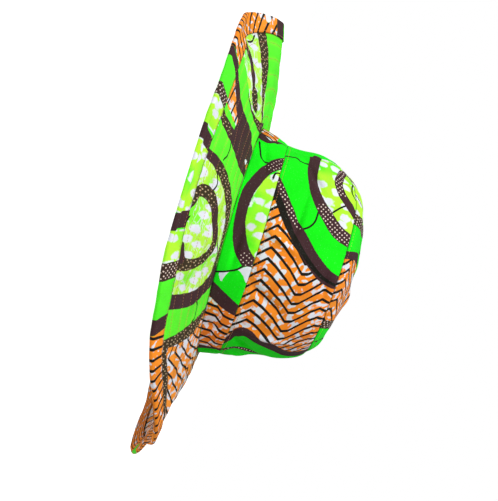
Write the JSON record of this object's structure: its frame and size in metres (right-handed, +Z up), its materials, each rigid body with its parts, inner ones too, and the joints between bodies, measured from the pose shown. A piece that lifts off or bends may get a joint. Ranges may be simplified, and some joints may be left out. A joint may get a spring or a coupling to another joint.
{
  "type": "sun hat",
  "caption": "Soft wide-brimmed sun hat of wax-print cotton: drooping stitched brim with a bound rim, and a crown made of a foot band, a leaning side panel and a domed top.",
  "frame": {"origin": "middle of the hat's outline in plan, on the surface that it rests on", "axes": "+X towards the hat's back, +Y towards the side turned away from the picture's camera, +Z up"},
  "size_m": [0.3926, 0.3586, 0.1504],
  "materials": {
    "brim_cotton": "matte printed cotton",
    "binding_cotton": "matte printed cotton",
    "band_cotton": "matte printed cotton",
    "side_cotton": "matte printed cotton",
    "tip_cotton": "matte printed cotton"
  },
  "bodies": {
    "root": {"brim": "brim_cotton", "brim_binding": "binding_cotton", "crown_band": "band_cotton", "crown_side": "side_cotton", "crown_tip": "tip_cotton"}
  },
  "joints": []
}
